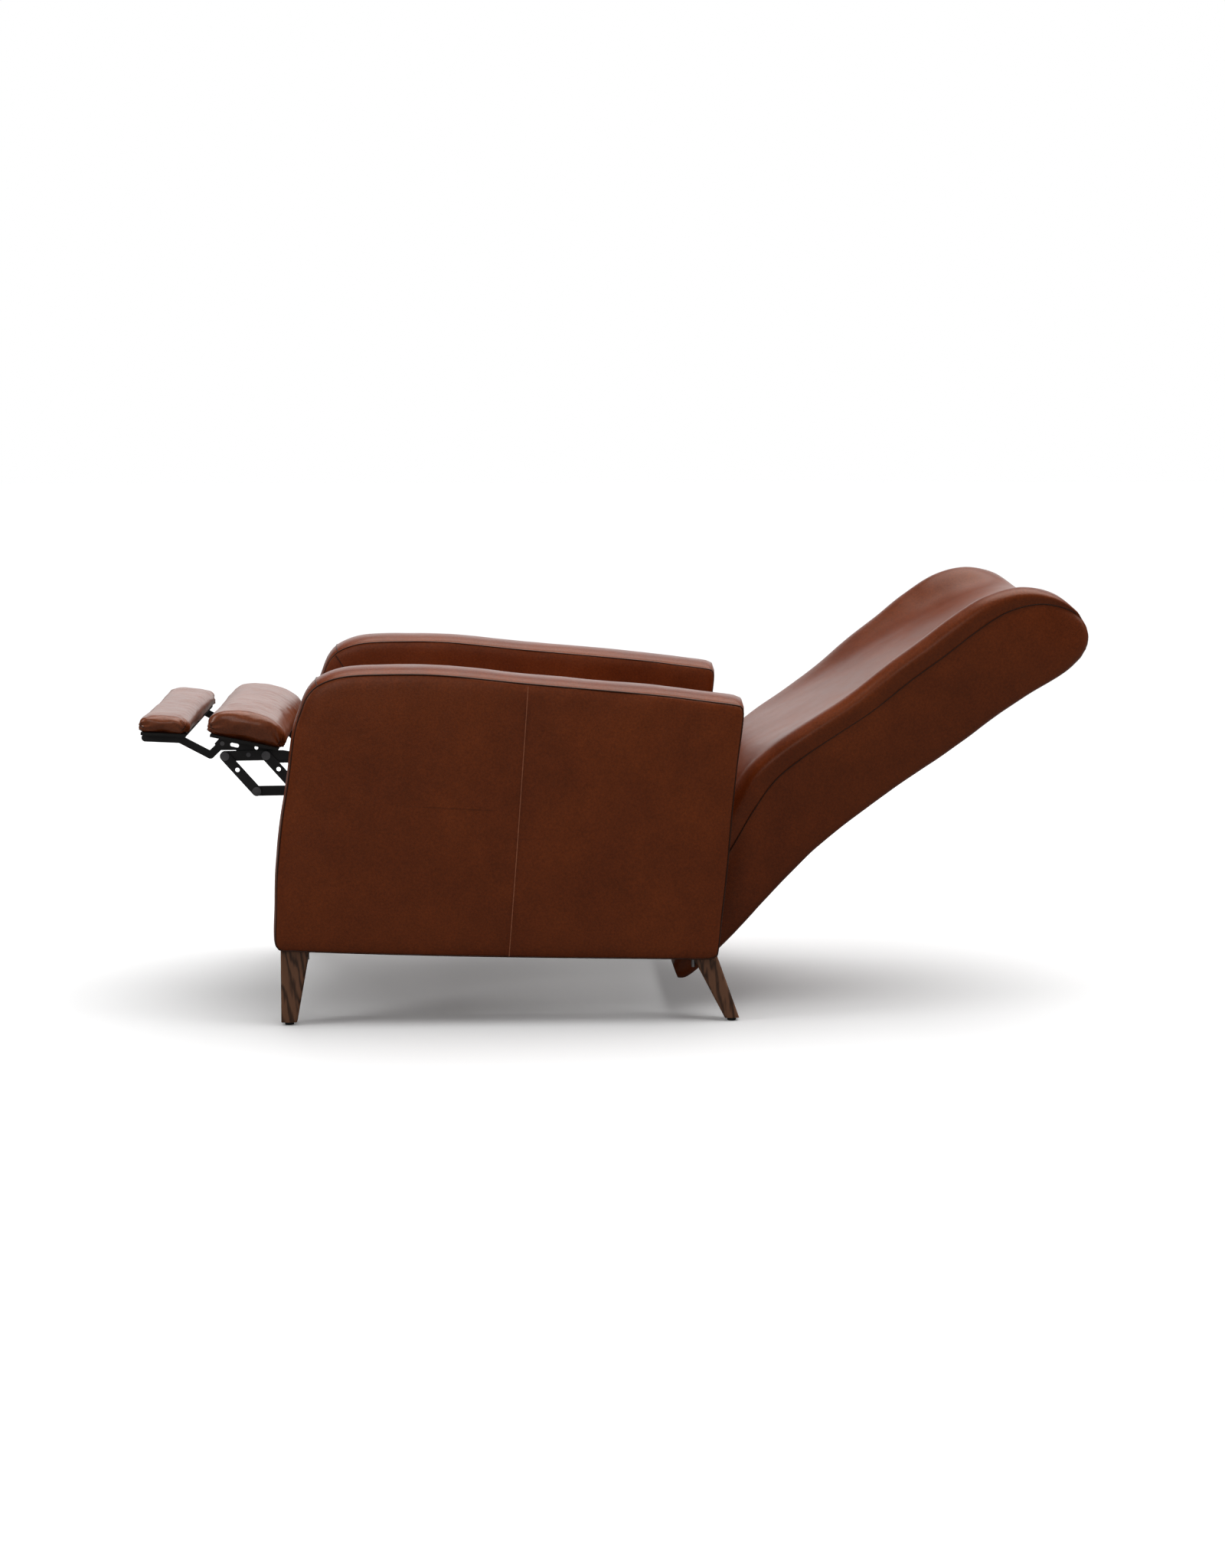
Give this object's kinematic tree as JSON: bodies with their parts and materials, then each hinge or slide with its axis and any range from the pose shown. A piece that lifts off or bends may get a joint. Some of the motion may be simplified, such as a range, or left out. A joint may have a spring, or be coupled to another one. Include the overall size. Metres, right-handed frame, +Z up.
{
  "type": "recliner armchair",
  "caption": "Leather push-back recliner armchair with winged back, tapered wooden legs and a linkage leg rest with toe flap, shown fully open.",
  "frame": {"origin": "on the floor under the middle of the open chair", "axes": "+X to the left of the sitter, +Y from the leg rest towards the head, +Z up"},
  "size_m": [0.75, 1.7099, 0.77],
  "materials": {
    "leather": "semi-gloss",
    "leg_wood": "satin",
    "frame_wood": "matte",
    "black_steel": "satin",
    "spring_steel": "satin",
    "dust_cloth": "matte",
    "glide": "matte"
  },
  "bodies": {
    "base": {"arm_bottom_rail_left": "frame_wood", "arm_bottom_rail_right": "frame_wood", "arm_front_band_left": "leather", "arm_front_band_right": "leather", "arm_front_posts": "frame_wood", "arm_inner_panel_left": "leather", "arm_inner_panel_right": "leather", "arm_outer_panel_left": "leather", "arm_outer_panel_right": "leather", "arm_rear_band_left": "leather", "arm_rear_band_right": "leather", "arm_rear_posts": "frame_wood", "arm_top_pad_left": "leather", "arm_top_pad_right": "leather", "base_pivot_pins": "black_steel", "front_cross_rail": "frame_wood", "front_leg_left": "leg_wood", "front_leg_right": "leg_wood", "leg_bolts": "spring_steel", "leg_glides": "glide", "mechanism_plates": "black_steel", "mechanism_rails": "black_steel", "rear_cross_rail": "frame_wood", "rear_leg_left": "leg_wood", "rear_leg_right": "leg_wood"},
    "seat": {"seat_cushion": "leather", "seat_deck_pad": "leather", "seat_front_rail": "frame_wood", "seat_hinge_plates": "black_steel", "seat_rear_rail": "frame_wood", "seat_side_rails": "frame_wood", "seat_springs": "spring_steel", "hinge_pins": "black_steel"},
    "back": {"back_cushion": "leather", "back_hinge_brackets": "black_steel", "back_lower_rail": "frame_wood", "back_post_left": "frame_wood", "back_post_right": "frame_wood", "back_rear_panel": "leather", "back_springs": "spring_steel", "back_top_rail": "frame_wood", "back_wing_left": "leather", "back_wing_right": "leather"},
    "legrest": {"legrest_pad": "leather", "legrest_board": "dust_cloth", "upper_bar_left": "black_steel", "upper_bar_right": "black_steel", "pad_brackets": "black_steel", "upper_link_rivets": "black_steel", "flap_pivot_rivets": "black_steel", "pad_bracket_rivets": "black_steel"},
    "toe_flap": {"toe_flap_pad": "leather", "toe_flap_board": "dust_cloth", "flap_brackets": "black_steel"},
    "lower_link": {"lower_bar_left": "black_steel", "lower_bar_right": "black_steel", "lower_link_rivets": "black_steel"},
    "front_coupler": {"front_couplers": "black_steel"},
    "rear_coupler": {"rear_couplers": "black_steel"}
  },
  "joints": [
    {"name": "seat_slide", "type": "slide", "parent": "base", "child": "seat", "axis": [0, 1, 0], "range_m": [0, 0.03]},
    {"name": "back_recline", "type": "hinge", "parent": "seat", "child": "back", "pos_m": [0, 0.165, 0.345], "axis": [1, 0, 0], "range_deg": [0, 38]},
    {"name": "legrest_fold", "type": "hinge", "parent": "base", "child": "legrest", "pos_m": [0, -0.515, 0.458], "axis": [1, 0, 0], "range_deg": [0, 100]},
    {"name": "lower_link_swing", "type": "hinge", "parent": "base", "child": "lower_link", "pos_m": [0, -0.459, 0.394], "axis": [1, 0, 0], "range_deg": [0, 100]},
    {"name": "front_coupler_turn", "type": "hinge", "parent": "legrest", "child": "front_coupler", "pos_m": [0, -0.695, 0.47], "axis": [1, 0, 0], "range_deg": [-100, 0]},
    {"name": "rear_coupler_turn", "type": "hinge", "parent": "legrest", "child": "rear_coupler", "pos_m": [0, -0.621, 0.471], "axis": [1, 0, 0], "range_deg": [-100, 0]},
    {"name": "toe_flap_fold", "type": "hinge", "parent": "legrest", "child": "toe_flap", "pos_m": [0, -0.7, 0.492], "axis": [1, 0, 0], "range_deg": [0, 24]}
  ],
  "couplings": [
    {"joint": "seat_slide", "follows": "back_recline", "m_per_rad": 0.045},
    {"joint": "lower_link_swing", "follows": "legrest_fold", "ratio": 1},
    {"joint": "front_coupler_turn", "follows": "legrest_fold", "ratio": -1},
    {"joint": "rear_coupler_turn", "follows": "legrest_fold", "ratio": -1},
    {"joint": "toe_flap_fold", "follows": "legrest_fold", "ratio": 0.24}
  ]
}
